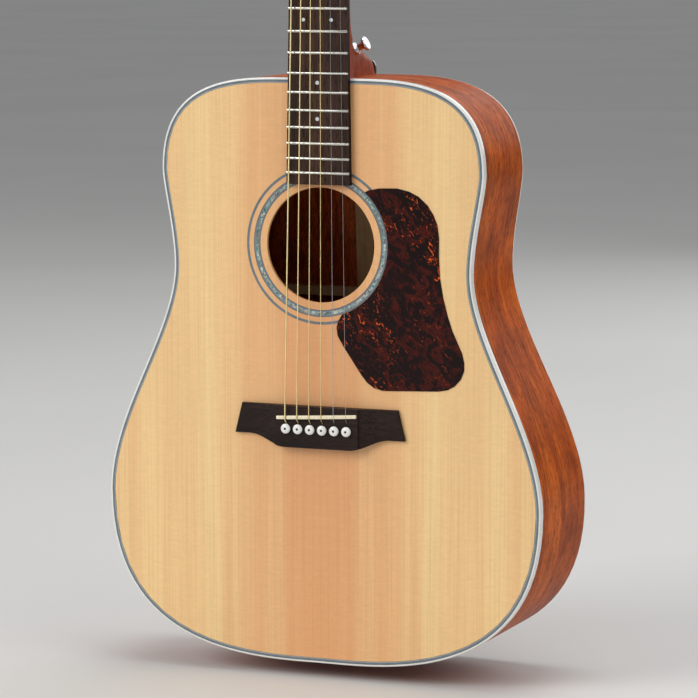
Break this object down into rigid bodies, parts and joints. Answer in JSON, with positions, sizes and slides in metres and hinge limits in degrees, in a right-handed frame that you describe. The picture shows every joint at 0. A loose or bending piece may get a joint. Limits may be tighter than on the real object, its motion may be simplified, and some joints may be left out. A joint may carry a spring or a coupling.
{
  "type": "acoustic guitar",
  "caption": "Flat-top dreadnought acoustic guitar with bound body, pickguard, pinned bridge, fretted neck and geared tuners.",
  "frame": {"origin": "seat of the end pin, on the tail's outer face at the middle of the body's depth, on the centreline", "axes": "+Z along the neck towards the headstock, -Y out of the soundboard, +X towards the treble side"},
  "size_m": [0.4, 0.1474, 1.0545],
  "materials": {
    "spruce": "satin, clear lacquer over straight vertical grain",
    "mahogany": "gloss, red-brown with dark pores and a streaky figure",
    "neck_mahogany": "satin, red-brown straight grain",
    "rosewood": "oiled, dark brown streaks",
    "veneer": "gloss, dark rosewood",
    "inner_wood": "bare sawn wood",
    "binding": "polished white plastic",
    "purfling": "grey-blue and black lines",
    "shell": "iridescent shell inlay",
    "tortoise": "dark tortoise with red-orange flecks",
    "bone": "polished bone",
    "pin_plastic": "white plastic with a black dot",
    "black_plastic": "polished black plastic",
    "fret_metal": "polished nickel silver",
    "chrome": "polished chrome",
    "steel": "plain steel",
    "brass": "turned brass",
    "bronze_wire": "bronze-wound string",
    "plain_wire": "plain steel string"
  },
  "bodies": {
    "root": {"soundboard": "spruce", "back": "mahogany", "side_bass": "mahogany", "side_treble": "mahogany", "top_binding": "binding", "back_binding": "binding", "top_purfling": "purfling", "top_lining": "inner_wood", "back_lining": "inner_wood", "neck_block": "inner_wood", "tail_block": "inner_wood", "x_braces": "inner_wood", "top_bars": "inner_wood", "bridge_plate": "inner_wood", "back_bracing": "inner_wood", "rosette": "shell", "pickguard": "tortoise", "bridge": "rosewood", "saddle": "bone", "neck": "neck_mahogany", "fingerboard": "rosewood", "frets": "fret_metal", "position_dots": "shell", "nut": "bone", "truss_rod": "steel", "truss_rod_cover": "black_plastic", "head_veneer": "veneer", "tuner_housings": "chrome", "tuner_bushings": "chrome", "screws": "chrome", "strap_button": "chrome", "end_pin": "chrome", "heel_cap": "black_plastic", "neck_bolts": "steel", "string_1": "plain_wire", "string_2": "plain_wire", "string_3": "bronze_wire", "string_4": "bronze_wire", "string_5": "bronze_wire", "string_6": "bronze_wire"},
    "truss_rod_nut": {"truss_rod_nut": "brass"},
    "bridge_pin_1": {"bridge_pin_1": "pin_plastic"},
    "bridge_pin_2": {"bridge_pin_2": "pin_plastic"},
    "bridge_pin_3": {"bridge_pin_3": "pin_plastic"},
    "bridge_pin_4": {"bridge_pin_4": "pin_plastic"},
    "bridge_pin_5": {"bridge_pin_5": "pin_plastic"},
    "bridge_pin_6": {"bridge_pin_6": "pin_plastic"},
    "tuner_key_1": {"tuner_key_1": "chrome"},
    "tuner_post_1": {"tuner_post_1": "chrome"},
    "tuner_key_2": {"tuner_key_2": "chrome"},
    "tuner_post_2": {"tuner_post_2": "chrome"},
    "tuner_key_3": {"tuner_key_3": "chrome"},
    "tuner_post_3": {"tuner_post_3": "chrome"},
    "tuner_key_4": {"tuner_key_4": "chrome"},
    "tuner_post_4": {"tuner_post_4": "chrome"},
    "tuner_key_5": {"tuner_key_5": "chrome"},
    "tuner_post_5": {"tuner_post_5": "chrome"},
    "tuner_key_6": {"tuner_key_6": "chrome"},
    "tuner_post_6": {"tuner_post_6": "chrome"}
  },
  "joints": [
    {"name": "truss_rod_nut_turn", "type": "hinge", "parent": "root", "child": "truss_rod_nut", "pos_m": [0, -0.0608, 0.88225], "axis": [0, 0, 1], "range_deg": [-180, 180]},
    {"name": "bridge_pin_1_pull", "type": "slide", "parent": "root", "child": "bridge_pin_1", "axis": [0, -1, 0], "range_m": [0, 0.03]},
    {"name": "bridge_pin_2_pull", "type": "slide", "parent": "root", "child": "bridge_pin_2", "axis": [0, -1, 0], "range_m": [0, 0.03]},
    {"name": "bridge_pin_3_pull", "type": "slide", "parent": "root", "child": "bridge_pin_3", "axis": [0, -1, 0], "range_m": [0, 0.03]},
    {"name": "bridge_pin_4_pull", "type": "slide", "parent": "root", "child": "bridge_pin_4", "axis": [0, -1, 0], "range_m": [0, 0.03]},
    {"name": "bridge_pin_5_pull", "type": "slide", "parent": "root", "child": "bridge_pin_5", "axis": [0, -1, 0], "range_m": [0, 0.03]},
    {"name": "bridge_pin_6_pull", "type": "slide", "parent": "root", "child": "bridge_pin_6", "axis": [0, -1, 0], "range_m": [0, 0.03]},
    {"name": "tuner_key_1_turn", "type": "hinge", "parent": "root", "child": "tuner_key_1", "pos_m": [0.024, -0.03942, 0.90159], "axis": [1, 0, 0], "continuous": true},
    {"name": "tuner_post_1_turn", "type": "hinge", "parent": "root", "child": "tuner_post_1", "pos_m": [0.024, -0.05732, 0.91306], "axis": [0, -0.9703, 0.2419], "continuous": true},
    {"name": "tuner_key_2_turn", "type": "hinge", "parent": "root", "child": "tuner_key_2", "pos_m": [0.024, -0.02926, 0.94234], "axis": [1, 0, 0], "continuous": true},
    {"name": "tuner_post_2_turn", "type": "hinge", "parent": "root", "child": "tuner_post_2", "pos_m": [0.024, -0.04716, 0.95381], "axis": [0, -0.9703, 0.2419], "continuous": true},
    {"name": "tuner_key_3_turn", "type": "hinge", "parent": "root", "child": "tuner_key_3", "pos_m": [0.024, -0.0191, 0.98309], "axis": [1, 0, 0], "continuous": true},
    {"name": "tuner_post_3_turn", "type": "hinge", "parent": "root", "child": "tuner_post_3", "pos_m": [0.024, -0.037, 0.99457], "axis": [0, -0.9703, 0.2419], "continuous": true},
    {"name": "tuner_key_4_turn", "type": "hinge", "parent": "root", "child": "tuner_key_4", "pos_m": [-0.024, -0.0191, 0.98309], "axis": [-1, 0, 0], "continuous": true},
    {"name": "tuner_post_4_turn", "type": "hinge", "parent": "root", "child": "tuner_post_4", "pos_m": [-0.024, -0.037, 0.99457], "axis": [0, -0.9703, 0.2419], "continuous": true},
    {"name": "tuner_key_5_turn", "type": "hinge", "parent": "root", "child": "tuner_key_5", "pos_m": [-0.024, -0.02926, 0.94234], "axis": [-1, 0, 0], "continuous": true},
    {"name": "tuner_post_5_turn", "type": "hinge", "parent": "root", "child": "tuner_post_5", "pos_m": [-0.024, -0.04716, 0.95381], "axis": [0, -0.9703, 0.2419], "continuous": true},
    {"name": "tuner_key_6_turn", "type": "hinge", "parent": "root", "child": "tuner_key_6", "pos_m": [-0.024, -0.03942, 0.90159], "axis": [-1, 0, 0], "continuous": true},
    {"name": "tuner_post_6_turn", "type": "hinge", "parent": "root", "child": "tuner_post_6", "pos_m": [-0.024, -0.05732, 0.91306], "axis": [0, -0.9703, 0.2419], "continuous": true}
  ],
  "couplings": [
    {"joint": "tuner_post_1_turn", "follows": "tuner_key_1_turn", "ratio": 0.071429},
    {"joint": "tuner_post_2_turn", "follows": "tuner_key_2_turn", "ratio": 0.071429},
    {"joint": "tuner_post_3_turn", "follows": "tuner_key_3_turn", "ratio": 0.071429},
    {"joint": "tuner_post_4_turn", "follows": "tuner_key_4_turn", "ratio": 0.071429},
    {"joint": "tuner_post_5_turn", "follows": "tuner_key_5_turn", "ratio": 0.071429},
    {"joint": "tuner_post_6_turn", "follows": "tuner_key_6_turn", "ratio": 0.071429}
  ]
}
